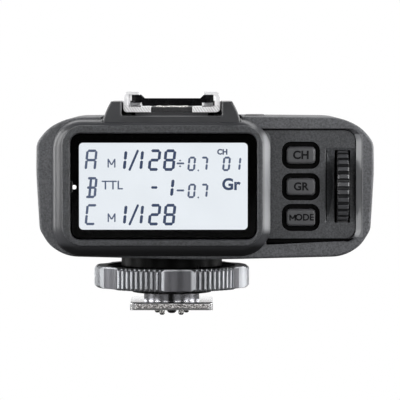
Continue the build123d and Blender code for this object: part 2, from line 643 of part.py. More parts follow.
# ---------------------------------------------------------------- nose
def af_lens():
    """Red window of the focus lamp."""
    lens = panel(centred(BODY_X, 26.0, 18.0, 9.0), 4.3, NOSE_Y - 3.0, NOSE_Y - 0.5)
    return lens + (panel(centred(BODY_X, 26.0, 20.0, 11.0), 5.0, NOSE_Y - 3.8, NOSE_Y - 2.6) & body_solid(2.0))


def af_led():
    dome = rod_y(BODY_X, 26.0, 38.0, 42.0, 2.5)
    return fillet(dome.faces().sort_by(Axis.Y)[-1].edges(), 2.2) + rod_y(BODY_X, 26.0, 37.0, 38.2, 3.0)


def small_boards():
    """Boards of the side switches, test button, focus lamp and radio."""
    side = block(*SIDE_PCB_X, -2.8, 35.5, 20.5, 36.0)
    top = block(14.5, 28.0, -11.75, -4.7, 34.0, 35.0)
    lamp = block(BODY_X - 9, BODY_X + 9, 35.8, 37.0, 20.0, 32.0)
    radio = block(-20.5, -4.5, 31.0, 39.5, 18.0, 19.0)
    return Part() + [side, top, lamp, radio]


def rf_shield():
    """Pressed can over the radio chip."""
    can = block(-18.5, -7.5, 32.0, 38.5, 19.0, 21.2)
    return can - block(-18.2, -7.8, 32.3, 38.2, 18, 20.9)


def antenna():
    """Coiled quarter-wave wire standing on the radio board."""
    helix = Pos(-5.9, 35.0, 19.35) * Helix(pitch=1.3, height=10.4, radius=1.1)
    return sweep(Plane(origin=helix @ 0, z_dir=helix % 0) * Circle(0.3), path=helix)


# ---------------------------------------------------------------- foot and lock ring
def bottom_collar():
    collar = rod_z(0, 0, *COLLAR_Z, COLLAR_R)
    collar = fillet(collar.faces().sort_by(Axis.Z)[0].edges(), 0.7)
    collar -= rod_z(0, 0, 5, 20, STEM_R + 0.02)
    for angle in (45, 135, 225, 315):
        collar -= rod_z(9.3 * cos(radians(angle)), 9.3 * sin(radians(angle)), 10.2, 20, 0.9)
    return collar


def contact_block_space(margin, z0, z1):
    """Room for the contact block: a rectangle kept inside the stem."""
    room = block(-4.65 - margin, 4.65 + margin, -6.2, 3.4 + margin, z0, z1)
    return room & rod_z(0, 0, z0, z1, 6.35 + margin)


def mounting_foot():
    """Foot plate and threaded stem in one metal piece, hollow for the contact block."""
    plate = extrude(RectangleRounded(FOOT_W, 2 * FOOT_HALF_L, 0.8), FOOT_T)
    plate = chamfer(plate.edges().filter_by(Plane.XY).group_by(Axis.Z)[-1], 0.25)
    stem = extrude(Pos(0, 0, FOOT_T - 0.1) * double_d(STEM_R, STEM_FLAT), 14.6 - FOOT_T + 0.1)
    for turn in range(4):
        z = 6.2 + THREAD_PITCH * turn
        groove = make_face(Polyline((STEM_R + 0.1, z - 0.5), (STEM_R - 0.45, z), (STEM_R + 0.1, z + 0.5), close=True))
        stem -= revolve(Plane.XZ * groove, Axis.Z)
    foot = plate + stem
    foot -= contact_block_space(0.05, -1, 13.0)
    foot -= block(-3.2, 3.2, -4.0, 2.0, 12.9, 15)
    return foot - rod_z(0, LOCK_PIN_Y, -1, 3, LOCK_PIN_R + RUN)


def stem_plate():
    """Steel plate inside the housing that the foot hangs from."""
    plate = rod_z(0, 0, 14.6, 15.8, 10.9) - block(-3.2, 3.2, -4.0, 2.0, 14, 17)
    for angle in (45, 135, 225, 315):
        plate -= rod_z(9.3 * cos(radians(angle)), 9.3 * sin(radians(angle)), 14, 17, 0.9)
    return plate


def foot_screws():
    group = Part()
    for angle in (45, 135, 225, 315):
        x, y = 9.3 * cos(radians(angle)), 9.3 * sin(radians(angle))
        group += rod_z(x, y, 10.3, 15.85, 0.88) + rod_z(x, y, 15.8, 16.9, 1.5)
    return group


def foot_insulator():
    """Plastic block in the foot, with a stepped bore for each sprung contact."""
    body = contact_block_space(0, 0.15, 12.9)
    body -= rod_z(0, 0, 0, 1.3, 1.1 + RUN) + rod_z(0, 0, 1.3, 6.2, 1.75)
    for x, y in DATA_PINS:
        body -= rod_z(x, y, 0, 1.3, 0.6 + RUN) + rod_z(x, y, 1.3, 6.2, 1.05)
    return body


def contact_pin(x, y, radius, shoulder):
    """Round-nosed contact with a shoulder that keeps it in its bore."""
    pin = rod_z(x, y, PIN_TIP_Z, 2.2, radius)
    pin = fillet(pin.faces().sort_by(Axis.Z)[0].edges(), radius * 0.7)
    return pin + rod_z(x, y, 1.4, 2.2, shoulder)


def pin_spring(x, y, radius):
    """Coil spring above a contact pin."""
    helix = Pos(x, y, 2.35) * Helix(pitch=0.62, height=3.6, radius=radius)
    return sweep(Plane(origin=helix @ 0, z_dir=helix % 0) * Circle(0.12), path=helix)


def pressure_washer():
    washer = rod_z(0, 0, *WASHER_Z, WASHER_R)
    washer = chamfer(washer.faces().sort_by(Axis.Z)[0].edges(), 0.5)
    return washer - extrude(Pos(0, 0, 3) * double_d(STEM_R + 0.12, STEM_FLAT + 0.1), 2)


def locking_pin():
    """Pin carried by the washer; it drops out of the foot as the ring is tightened."""
    pin = rod_z(0, LOCK_PIN_Y, 0.2, WASHER_Z[0], LOCK_PIN_R)
    return chamfer(pin.faces().sort_by(Axis.Z)[0].edges(), 0.2)


def ring_outline():
    """Grip outline: six smooth scallops between six bands of nine ribs."""
    scallop, band, ribs = radians(24), radians(36), 9
    groove_r = RING_R - 0.6
    first_scallop = radians(-90 + 5)
    curves = []
    for k in range(6):
        start = first_scallop + k * (scallop + band) - scallop / 2
        ends = [(RING_R * cos(a), RING_R * sin(a)) for a in (start, start + scallop)]
        middle = ((RING_R - 1.5) * cos(start + scallop / 2), (RING_R - 1.5) * sin(start + scallop / 2))
        curves.append(ThreePointArc(ends[0], middle, ends[1]))
        points = [ends[1]]
        pitch = band / ribs
        for rib in range(ribs):
            base = start + scallop + rib * pitch
            for share, radius in ((0.34, RING_R), (0.5, groove_r), (0.84, groove_r), (1.0, RING_R)):
                points.append((radius * cos(base + share * pitch), radius * sin(base + share * pitch)))
        curves.append(Polyline(*points))
    return make_face([edge for curve in curves for edge in curve.edges()])


def lock_ring():
    """Knurled clamping nut with a dished top."""
    z0, z1 = RING_Z
    blank = extrude(Pos(0, 0, z0) * ring_outline(), z1 - z0)
    edge = 0.55
    profile = make_face(Polyline(
        (0, z0), (RING_R - edge, z0), (RING_R + 0.05, z0 + edge), (RING_R + 0.05, z1 - edge),
        (RING_R - edge, z1), (0, z1), close=True))
    ring = blank & revolve(Plane.XZ * profile, Axis.Z)
    dish = make_face(Polyline(
        (0, 7.7), (DISH_R - 1.2, 7.7), (DISH_R, z1 + 0.01), (0, z1 + 0.01), close=True))
    ring -= revolve(Plane.XZ * dish, Axis.Z)
    return ring - rod_z(0, 0, 0, 20, STEM_R + 0.12)


def case_screws():
    group = Part()
    for x, y in CASE_SCREWS:
        screw = rod_z(x, y, 13.0, 17.5, 0.93) + rod_z(x, y, 12.75, 13.35, 1.8)
        for angle in (0, 90):
            screw -= Pos(x, y, 12.7) * Rot(0, 0, angle) * Box(2.2, 0.4, 0.7)
        group += screw
    return group


# ---------------------------------------------------------------- write every node
def build_parts():
    parts["main_housing"] = main_housing()
    parts["rear_cover"] = rear_cover()
    parts["display_window"] = display_window()
    parts["lens_mask"] = lens_mask()
    parts["lcd_glass"] = lcd_glass()
    parts["lcd_backlight"] = lcd_backlight()
    parts["lcd_frame"] = lcd_frame()
    parts["lcd_ribbon"] = lcd_ribbon()
    parts["indicator_pipe"] = indicator_pipe()
    parts["main_pcb"] = main_pcb()
    parts["pcb_components"] = pcb_components()
    parts["tact_switches"] = tact_switches()
    for name, z in BUTTON_Z.items():
        parts[f"button_{name}"] = push_button(z)
    parts["dial_wheel"] = dial_wheel()
    parts["dial_shaft"] = dial_shaft()
    parts["encoder_body"] = encoder_body()
    parts["dial_cradle"] = dial_cradle()
    parts["test_button"] = test_button()
    parts["test_switch"] = test_switch()
    parts["status_light_pipe"] = status_pipe()
    parts["shoe_shroud"] = shoe_shroud()
    parts["shoe_rails"] = shoe_rails()
    parts["shoe_insulator"] = shoe_insulator()
    parts["shoe_contacts"] = shoe_contacts()
    parts["shoe_leaf_springs"] = shoe_leaf_springs()
    parts["shoe_stop"] = shoe_stop()
    parts["shoe_screws"] = shoe_screws()
    parts["battery_door"] = battery_door()
    parts["door_hinge_pin"] = door_hinge_pin()
    parts["door_contact"] = door_contact()
    parts["battery_cells"] = battery_cells()
    parts["battery_tray"] = battery_tray()
    parts["battery_contacts"] = battery_contacts()
    parts["battery_springs"] = battery_springs()
    parts["side_panel"] = side_panel()
    parts["slide_switch_bodies"] = switch_bodies()
    for name, y in SWITCH_Y.items():
        parts[f"{name}_knob"] = slide_knob(y)
    parts["sync_jack"] = sync_jack()
    parts["usb_socket"] = usb_socket()
    parts["af_lens"] = af_lens()
    parts["af_led"] = af_led()
    parts["small_boards"] = small_boards()
    parts["rf_shield"] = rf_shield()
    parts["antenna"] = antenna()
    parts["bottom_collar"] = bottom_collar()
    parts["mounting_foot"] = mounting_foot()
    parts["stem_plate"] = stem_plate()
    parts["foot_screws"] = foot_screws()
    parts["foot_insulator"] = foot_insulator()
    parts["centre_pin"] = contact_pin(0, 0, 1.1, 1.6)
    parts["data_pins"] = Part() + [contact_pin(x, y, 0.6, 0.95) for x, y in DATA_PINS]
    parts["centre_pin_spring"] = pin_spring(0, 0, 1.3)
    parts["data_pin_springs"] = Part() + [pin_spring(x, y, 0.75) for x, y in DATA_PINS]
    parts["pressure_washer"] = pressure_washer()
    parts["locking_pin"] = locking_pin()
    parts["lock_ring"] = lock_ring()
    parts["case_screws"] = case_screws()


os.makedirs("parts", exist_ok=True)
build_parts()
for node, shape in parts.items():
    export_step(shape, f"parts/{node}.step")
print(len(parts), "nodes written")
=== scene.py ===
import json
from math import pi, radians

import bpy
from mathutils import Euler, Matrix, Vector


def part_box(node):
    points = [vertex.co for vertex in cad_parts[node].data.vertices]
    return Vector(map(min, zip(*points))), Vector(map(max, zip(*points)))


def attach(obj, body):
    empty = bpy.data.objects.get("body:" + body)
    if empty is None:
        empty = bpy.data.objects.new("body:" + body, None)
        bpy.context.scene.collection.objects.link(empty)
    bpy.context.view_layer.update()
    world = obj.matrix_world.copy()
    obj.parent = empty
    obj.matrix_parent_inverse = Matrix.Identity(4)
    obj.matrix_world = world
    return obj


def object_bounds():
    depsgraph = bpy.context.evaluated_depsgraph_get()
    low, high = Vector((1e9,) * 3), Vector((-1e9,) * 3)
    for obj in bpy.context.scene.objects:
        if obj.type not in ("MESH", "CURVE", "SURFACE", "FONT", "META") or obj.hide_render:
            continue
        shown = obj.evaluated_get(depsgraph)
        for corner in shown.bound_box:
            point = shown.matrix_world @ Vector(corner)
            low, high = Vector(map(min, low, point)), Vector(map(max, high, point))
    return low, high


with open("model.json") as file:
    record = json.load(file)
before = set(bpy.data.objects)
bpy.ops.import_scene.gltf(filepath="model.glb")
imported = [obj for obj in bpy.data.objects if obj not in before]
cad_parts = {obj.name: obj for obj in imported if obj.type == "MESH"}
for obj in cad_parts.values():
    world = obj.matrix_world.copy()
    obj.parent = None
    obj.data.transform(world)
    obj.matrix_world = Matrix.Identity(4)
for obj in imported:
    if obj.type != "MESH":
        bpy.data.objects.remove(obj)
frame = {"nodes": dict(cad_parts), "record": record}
cad_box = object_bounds()
nodes = frame["nodes"]

MM = 0.001
HOUSING = "housing"
FULL_BLACK = (0.002, 0.002, 0.002)


# ------------------------------------------------------------------ camera, light, floor
VIEW_X, VIEW_BACK, VIEW_UP = 0.00643, 0.599, 0.05117     # where the viewer's eye is
VIEW_TILT = 2.56                                         # degrees below level
VIEW_FOCAL = 237.0                                       # mm on a 36 mm sensor


def add_camera():
    data = bpy.data.cameras.new("camera")
    data.lens = VIEW_FOCAL
    data.sensor_width = 36.0
    data.clip_start = 0.02
    data.clip_end = 20.0
    camera = bpy.data.objects.new("camera", data)
    camera.location = (VIEW_X, -VIEW_BACK, VIEW_UP)
    camera.rotation_euler = Euler((radians(90 - VIEW_TILT), 0, 0))
    bpy.context.scene.collection.objects.link(camera)
    bpy.context.scene.camera = camera


def add_softbox(name, place, size, radiance, tint=(1, 1, 1)):
    """Rectangular area light that faces the object's middle. Radiance is what its surface shows."""
    data = bpy.data.lights.new(name, "AREA")
    data.shape = "RECTANGLE"
    data.size, data.size_y = size
    data.energy = radiance * pi * size[0] * size[1]
    data.color = tint
    lamp = bpy.data.objects.new(name, data)
    lamp.location = place
    target = Vector((VIEW_X, 0, 0.028))
    lamp.rotation_euler = (target - Vector(place)).to_track_quat("-Z", "Y").to_euler()
    bpy.context.scene.collection.objects.link(lamp)


def white_to_the_eye(tree, lighting, target):
    """Mixes plain white for what the camera sees directly with another surface for all other light."""
    seen = tree.nodes.new("ShaderNodeEmission" if lighting.type != "BACKGROUND" else "ShaderNodeBackground")
    seen.inputs["Color"].default_value = (1, 1, 1, 1)
    path = tree.nodes.new("ShaderNodeLightPath")
    mix = tree.nodes.new("ShaderNodeMixShader")
    tree.links.new(path.outputs["Is Camera Ray"], mix.inputs[0])
    tree.links.new(lighting.outputs[0], mix.inputs[1])
    tree.links.new(seen.outputs[0], mix.inputs[2])
    tree.links.new(mix.outputs[0], target.inputs["Surface"])


def add_world():
    """White backdrop; as light it is a dim studio, brighter behind and above the object."""
    world = bpy.data.worlds.new("studio")
    bpy.context.scene.world = world
    world.use_nodes = True
    tree = world.node_tree
    tree.nodes.clear()
    output = tree.nodes.new("ShaderNodeOutputWorld")
    coords = tree.nodes.new("ShaderNodeTexCoord")
    split = tree.nodes.new("ShaderNodeSeparateXYZ")
    tree.links.new(coords.outputs["Generated"], split.inputs[0])
    behind = tree.nodes.new("ShaderNodeMapRange")
    above = tree.nodes.new("ShaderNodeMapRange")
    for fit, axis, (start, end, low, high) in (
        (behind, "Y", (-0.05, 0.5, 0.02, 1.4)), (above, "Z", (-0.35, 0.1, 0.05, 1.0)),
    ):
        tree.links.new(split.outputs[axis], fit.inputs["Value"])
        for socket, value in zip(("From Min", "From Max", "To Min", "To Max"), (start, end, low, high)):
            fit.inputs[socket].default_value = value
    product = tree.nodes.new("ShaderNodeMath")
    product.operation = "MULTIPLY"
    tree.links.new(behind.outputs[0], product.inputs[0])
    tree.links.new(above.outputs[0], product.inputs[1])
    lighting = tree.nodes.new("ShaderNodeBackground")
    tree.links.new(product.outputs[0], lighting.inputs["Strength"])
    white_to_the_eye(tree, lighting, output)


def add_floor():
    """Pale table top just under the contact pins."""
    level = cad_box[0][2] - 0.0001
    half = 3.0
    mesh = bpy.data.meshes.new("floor")
    corners = [(-half, -half, level), (half, -half, level), (half, half, level), (-half, half, level)]
    mesh.from_pydata(corners, [], [(0, 1, 2, 3)])
    floor = bpy.data.objects.new("floor", mesh)
    bpy.context.scene.collection.objects.link(floor)
    paint = bpy.data.materials.new("floor_paint")
    paint.use_nodes = True
    tree = paint.node_tree
    bsdf = tree.nodes["Principled BSDF"]
    bsdf.inputs["Base Color"].default_value = (0.06, 0.06, 0.06, 1)
    bsdf.inputs["Roughness"].default_value = 0.8
    white_to_the_eye(tree, bsdf, tree.nodes["Material Output"])
    mesh.materials.append(paint)


def set_stage():
    scene = bpy.context.scene
    scene.view_settings.view_transform = "Standard"
    add_camera()
    add_world()
    add_floor()
    add_softbox("strip_right", (0.44, 0.24, 0.06), (0.2, 0.4), 6.0)
    add_softbox("strip_left", (-0.44, 0.24, 0.06), (0.2, 0.4), 6.0)
    add_softbox("side_right", (0.20, -0.03, 0.075), (0.06, 0.16), 9.0)
    add_softbox("side_left", (-0.18, -0.03, 0.075), (0.06, 0.16), 8.0)
    add_softbox("near_right", (0.125, -0.085, 0.060), (0.035, 0.10), 9.0)
    add_softbox("near_left", (-0.11, -0.085, 0.060), (0.035, 0.10), 8.0)
    add_softbox("softbox_top", (0.02, 0.14, 0.55), (0.8, 0.25), 3.5)
    add_softbox("front_right", (0.24, -0.58, 0.13), (0.22, 0.24), 4.5)
    add_softbox("front_left", (-0.24, -0.58, 0.13), (0.22, 0.24), 4.0)


# ------------------------------------------------------------------ material kit
class Shader:
    """One node material, with short calls for the nodes that this object's surfaces need."""

    def __init__(self, name, color=(0.5, 0.5, 0.5), rough=0.5, metal=0.0, specular=0.5):
        self.material = bpy.data.materials.new(name)
        self.material.use_nodes = True
        self.tree = self.material.node_tree
        self.bsdf = self.tree.nodes["Principled BSDF"]
        self.set("Base Color", (*color, 1))
        self.set("Roughness", rough)
        self.set("Metallic", metal)
        self.set("Specular IOR Level", specular)
        self.coords = self.node("ShaderNodeTexCoord").outputs["Object"]
        self.color, self.rough = color, rough

    def node(self, kind, links=(), **settings):
        made = self.tree.nodes.new(kind)
        for key, value in settings.items():
            setattr(made, key, value)
        for socket, source in dict(links).items():
            self.tree.links.new(source, made.inputs[socket])
        return made

    def set(self, socket, value):
        self.bsdf.inputs[socket].default_value = value

    def feed(self, socket, source):
        self.tree.links.new(source, self.bsdf.inputs[socket])

    def noise(self, size, detail=3.0, stretch=(1, 1, 1)):
        """Noise whose features are about size metres across."""
        place = self.node("ShaderNodeMapping", {"Vector": self.coords})
        place.inputs["Scale"].default_value = stretch
        texture = self.node("ShaderNodeTexNoise", {"Vector": place.outputs[0]})
        texture.inputs["Scale"].default_value = 1 / size
        texture.inputs["Detail"].default_value = detail
        return texture.outputs["Fac"]

    def spread(self, source, low, high, start=0.3, end=0.7):
        """Maps a 0 to 1 value on to low to high."""
        fit = self.node("ShaderNodeMapRange", {"Value": source})
        fit.inputs["From Min"].default_value = start
        fit.inputs["From Max"].default_value = end
        fit.inputs["To Min"].default_value = low
        fit.inputs["To Max"].default_value = high
        return fit.outputs[0]

    def blend(self, factor, low, high):
        """Mixes two colours, each a tuple or a socket."""
        mix = self.node("ShaderNodeMix", {"Factor": factor}, data_type="RGBA")
        for socket, value in ((6, low), (7, high)):
            if isinstance(value, tuple):
                mix.inputs[socket].default_value = (*value, 1)
            else:
                self.tree.links.new(value, mix.inputs[socket])
        return mix.outputs[2]

    def within(self, low, high, soft=0.00002):
        """1 inside a box in the frame's metres, 0 outside; None leaves a side open."""
        split = self.node("ShaderNodeSeparateXYZ", {"Vector": self.coords})
        inside = None
        for axis, start, end in zip("XYZ", low, high):
            for edge, reach in ((start, soft), (end, -soft)):
                if edge is None:
                    continue
                step = self.spread(split.outputs[axis], 0, 1, edge - reach, edge + reach)
                inside = step if inside is None else self.times(inside, step)
        return inside

    def combine(self, operation, first, second):
        """One step of arithmetic on two sockets."""
        return self.node("ShaderNodeMath", {0: first, 1: second}, operation=operation).outputs[0]

    def plus(self, first, second):
        return self.combine("ADD", first, second)

    def minus(self, first, second):
        return self.combine("SUBTRACT", first, second)

    def times(self, first, second):
        return self.combine("MULTIPLY", first, second)

    def distance(self, axes, coords):
        """Distance from the coordinates' origin, measured along the named axes only."""
        split = self.node("ShaderNodeSeparateXYZ", {"Vector": coords})
        flat = self.node("ShaderNodeCombineXYZ", {axis: split.outputs[axis] for axis in axes})
        return self.node("ShaderNodeVectorMath", {0: flat.outputs[0]}, operation="LENGTH").outputs["Value"]

    def speckle(self, base, size, amount):
        """Fine light and dark grain over a colour, as an eroded mould leaves."""
        grain = self.spread(self.noise(size, 2.0), 1 - amount, 1 + amount)
        scale = self.node("ShaderNodeVectorMath", {0: base}, operation="SCALE")
        self.tree.links.new(grain, scale.inputs["Scale"])
        return scale.outputs["Vector"]

    def mottle(self, size, amount):
        """Slight light and dark variation of the base colour, and of its roughness."""
        patch = self.spread(self.noise(size), 0, 1)
        dark = tuple(c * (1 - amount) for c in self.color)
        light = tuple(min(1.0, c * (1 + amount)) for c in self.color)
        mixed = self.blend(patch, dark, light)
        self.feed("Base Color", mixed)
        self.feed("Roughness", self.spread(patch, self.rough * 0.9, self.rough * 1.1, 0, 1))
        return mixed

    def round_edges(self, radius):
        """Normal that rolls over sharp edges, as a moulded or deburred edge does."""
        bevel = self.node("ShaderNodeBevel", samples=6)
        bevel.inputs["Radius"].default_value = radius
        return bevel.outputs[0]

    def worn_edges(self, base, wear_color, radius, amount):
        """Lightens convex and concave edges where the finish is handled or thin."""
        bevel = self.round_edges(radius)
        flat = self.node("ShaderNodeNewGeometry").outputs["Normal"]
        dot = self.node("ShaderNodeVectorMath", {0: bevel, 1: flat}, operation="DOT_PRODUCT")
        edge = self.spread(dot.outputs["Value"], amount, 0.0, 0.80, 0.985)
        mixed = self.blend(edge, base, wear_color)
        self.feed("Base Color", mixed)
        return mixed

    def bump(self, height, distance, under=None):
        """Raises the surface by height (0 to 1) times distance metres."""
        links = {"Height": height}
        if under is not None:
            links["Normal"] = under
        node = self.node("ShaderNodeBump", links)
        node.inputs["Distance"].default_value = distance
        self.feed("Normal", node.outputs[0])


def moulded_plastic(name, color, rough, grain=0.00032, depth=0.00003, edge=0.0002, wear=0.35, specular=0.5):
    """Moulded plastic: fine grain, slight mottling, rolled and faintly polished edges."""
    shader = Shader(name, color, rough, specular=specular)
    base = shader.mottle(0.006, 0.10)
    if depth > 0.00002:
        base = shader.speckle(base, grain, 0.4)
    shader.worn_edges(base, tuple(c * 1.9 for c in color), edge, wear)
    shader.bump(shader.noise(grain, 2.0), depth, under=shader.round_edges(edge))
    return shader.material


def plated_metal(name, color, rough, brush=(1, 1, 1), grain=0.0004, depth=0.000004, edge=0.00012):
    """Plated or machined metal: faint brushing, smudges in the gloss, bright edges."""
    shader = Shader(name, color, rough, metal=1.0)
    base = shader.mottle(0.003, 0.05)
    shader.worn_edges(base, tuple(min(1.0, c * 1.35) for c in color), edge, 0.5)
    shader.bump(shader.noise(grain, 3.0, brush), depth, under=shader.round_edges(edge))
    return shader.material


def cover_plastic():
    """Button panel and display surround: textured faces, a smooth satin roll, button wells painted black as
    shade.

    The surround's right slope is painted lighter as a highlight, its underside darker as shade, and the
    button wells and the groove round the panel black as shade.
    """
    shader = Shader("cover_plastic", (0.044, 0.046, 0.050), 0.50)
    base = shader.speckle(shader.mottle(0.006, 0.10), 0.00038, 0.45)
    base = shader.worn_edges(base, (0.13, 0.13, 0.14), 0.00018, 0.5)
    low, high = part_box("rear_cover")
    rim_end = low.y + 0.0002             # the surround's flat rim ends and its roll starts
    surround_right = high.x - 0.0185
    panel_y = low.y + 0.0034             # just user side of the button panel's face
    around_key = 0.002

    roll = shader.within((None, rim_end, None), (surround_right, low.y + 0.00228, None))
    deep = shader.within((None, panel_y + 0.0006, None), (None, None, None))
    face = shader.within((low.x + 0.0025, panel_y, low.z + 0.0038),
                         (high.x - 0.00095, None, high.z - 0.0026))
    # painted shade: the groove round the button panel, deeper than its face, is painted black
    shaded_groove = shader.times(deep, shader.minus(deep, face))
    # painted shade: the wells round the three keys are painted black
    shaded_wells = None
    for key in ("channel", "group", "mode"):
        key_low, key_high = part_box(f"button_{key}")
        shaded_well = shader.within((key_low.x - around_key, panel_y + 0.0002, key_low.z - around_key),
                             (key_high.x + around_key, panel_y + 0.004, key_high.z + around_key))
        shaded_wells = shaded_well if shaded_wells is None else shader.plus(shaded_wells, shaded_well)
    shaded_wells = shader.combine("MAXIMUM", shaded_wells, shaded_groove)
    # painted highlight: the surround's right slope is painted lighter
    painted_highlight_slope = shader.within((high.x - 0.0215, rim_end, low.z + 0.0055),
                          (surround_right, low.y + 0.0021, high.z - 0.0030), 0.0006)
    # painted shade: the surround's underside is painted near black
    under = shader.within((None, rim_end, None),
                          (high.x - 0.0205, low.y + 0.0023, low.z + 0.0026), 0.0005)

    base = shader.blend(roll, base, (0.045, 0.046, 0.050))
    base = shader.blend(painted_highlight_slope, base, (0.24, 0.245, 0.255))
    base = shader.blend(under, base, (0.006, 0.006, 0.007))
    shader.feed("Base Color", shader.blend(shaded_wells, base, FULL_BLACK))
    shader.feed("Specular IOR Level", shader.spread(shaded_wells, 0.5, 0.05, 0, 1))
    shader.feed("Roughness", shader.spread(roll, 0.50, 0.30, 0, 1))
    grain = shader.times(shader.noise(0.00042, 2.0), shader.spread(roll, 1.0, 0.12, 0, 1))
    shader.bump(grain, 0.00005, under=shader.round_edges(0.00018))
    return shader.material


def shell_plastic():
    """The housing's textured plastic.

    The narrow groove under the button panel is painted black as shade, the recess's right wall lighter as a
    highlight.
    """
    shader = Shader("shell_plastic", (0.074, 0.076, 0.082), 0.52)
    base = shader.speckle(shader.mottle(0.006, 0.10), 0.00038, 0.4)
    base = shader.worn_edges(base, (0.15, 0.15, 0.16), 0.0002, 0.35)
    low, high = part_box("main_housing")
    groove_left = 0.020
    # painted shade: the narrow groove under the button panel is painted black
    shaded_groove = shader.within((groove_left, low.y + 0.0005, low.z + 0.0030),
                           (high.x - 0.0036, low.y + 0.003, low.z + 0.0047))
    # painted highlight: the recess's right wall is painted lighter
    wall = shader.within((high.x - 0.0042, low.y + 0.00004, low.z + 0.0050),
                         (high.x - 0.0024, low.y + 0.0011, high.z - 0.0040), 0.0001)
    painted_wall_highlight = shader.blend(wall, base, (0.27, 0.275, 0.285))
    shader.feed("Base Color", shader.blend(shaded_groove, painted_wall_highlight, FULL_BLACK))
    shader.feed("Specular IOR Level", shader.spread(shaded_groove, 0.5, 0.05, 0, 1))
    shader.feed("Roughness", shader.spread(wall, 0.52, 0.30, 0, 1))
    grain = shader.times(shader.noise(0.00042, 2.0), shader.spread(wall, 1.0, 0.1, 0, 1))
    shader.bump(grain, 0.00006, under=shader.round_edges(0.0002))
    return shader.material


def wheel_rubber():
    """Dial wheel: black between the ridges, their crests painted lighter as rubbed wear and a painted
    highlight.
    """
    shader = Shader("wheel_rubber", (0.006, 0.006, 0.007), 0.34)
    base = shader.mottle(0.002, 0.2)
    low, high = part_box("dial_wheel")
    middle = (low + high) / 2
    place = shader.node("ShaderNodeMapping", {"Vector": shader.coords})
    place.inputs["Location"].default_value = (0, -middle.y, -middle.z)
    radius = shader.distance("YZ", place.outputs[0])
    outer = (high.z - low.z) / 2
    # rubbed wear and painted highlight: the crests are painted lighter
    crest_wear_and_highlight = shader.spread(radius, 0, 1, outer - 0.0003, outer - 0.0001)
    shader.feed("Base Color", shader.blend(crest_wear_and_highlight, base, (0.055, 0.056, 0.06)))
    shader.bump(shader.noise(0.0002, 2.0), 0.000006, under=shader.round_edges(0.00015))
    return shader.material


def ring_steel():
    """Lock ring: bright ribs and lands, with the grooves between ribs and the inner dish painted dark as
    shade.
    """
    shader = Shader("ring_steel", (0.42, 0.43, 0.45), 0.40, metal=1.0)
    base = shader.mottle(0.003, 0.05)
    radius = shader.distance("XY", shader.coords)
    low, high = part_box("lock_ring")
    outer = (high.x - low.x) / 2
    lands_x = 0.0152                     # beyond this, left and right, the lands have no ribs
    low_place = shader.within((None, None, None), (None, None, high.z - 0.0003))
    # painted shade: the grooves between the ribs are painted dark
    shaded_groove = shader.times(low_place, shader.spread(radius, 1, 0, outer - 0.00062, outer - 0.00032))
    ribbed = shader.within((-lands_x, None, None), (lands_x, None, None))
    # painted shade: the inner dish is painted near black
    shaded_dish = shader.spread(radius, 1, 0, outer - 0.0030, outer - 0.0026)
    base = shader.blend(shaded_dish, base, (0.012, 0.012, 0.013))
    shader.feed("Base Color", shader.blend(shader.times(shaded_groove, ribbed), base, (0.12, 0.12, 0.13)))
    shader.bump(shader.noise(0.00012, 2.0), 0.0000012, under=shader.round_edges(0.0002))
    return shader.material


def rail_steel():
    """Bright flash rails, finely knurled on the two tongues of the base plate."""
    shader = Shader("rail_steel", (0.95, 0.95, 0.96), 0.44, metal=1.0)
    base = shader.mottle(0.003, 0.04)
    low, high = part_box("shoe_rails")
    tongue = shader.within((None, None, None), (None, low.y + 0.0008, low.z + 0.0016))
    turn = shader.node("ShaderNodeMapping", {"Vector": shader.coords})
    turn.inputs["Rotation"].default_value = (0, radians(35), 0)
    lines = shader.node("ShaderNodeTexWave", {"Vector": turn.outputs[0]}, bands_direction="X")
    lines.inputs["Scale"].default_value = 640
    lines.inputs["Distortion"].default_value = 2.0
    cut = shader.times(tongue, shader.spread(lines.outputs["Fac"], 0.45, 0.0))
    shader.feed("Base Color", shader.blend(cut, base, (0.45, 0.44, 0.43)))
    shader.bump(shader.noise(0.0003, 3.0), 0.000004, under=shader.round_edges(0.0002))
    return shader.material


def foot_steel():
    """Chromed foot plate, rough along its front edge; its stem is painted grey and its slit black as shade.
    """
    shader = Shader("foot_steel", (0.92, 0.92, 0.93), 0.20, metal=1.0)
    base = shader.mottle(0.003, 0.05)
    low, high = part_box("mounting_foot")
    stem_z = low.z + 0.0018
    sheared = shader.within((low.x + 0.0012, None, low.z + 0.00035),
                            (high.x - 0.0009, low.y + 0.0002, low.z + 0.0014), 0.0001)
    pits = shader.noise(0.00035, 4.0, (1, 1, 1.6))
    torn = shader.blend(shader.spread(pits, 0, 1, 0.42, 0.6), (0.10, 0.09, 0.09), (0.95, 0.93, 0.92))
    # painted shade: the stem is painted darker grey and its slit black
    stem = shader.within((None, None, stem_z), (None, None, None))
    slit = shader.within((-0.0007, None, stem_z), (0.0004, None, None), 0.0002)
    base = shader.blend(slit, shader.blend(stem, base, (0.22, 0.22, 0.235)), (0.03, 0.03, 0.03))
    shader.feed("Base Color", shader.blend(sheared, base, torn))
    shader.feed("Roughness", shader.spread(sheared, 0.2, 0.6, 0, 1))
    shader.bump(shader.times(pits, sheared), 0.00012, under=shader.round_edges(0.00015))
    return shader.material


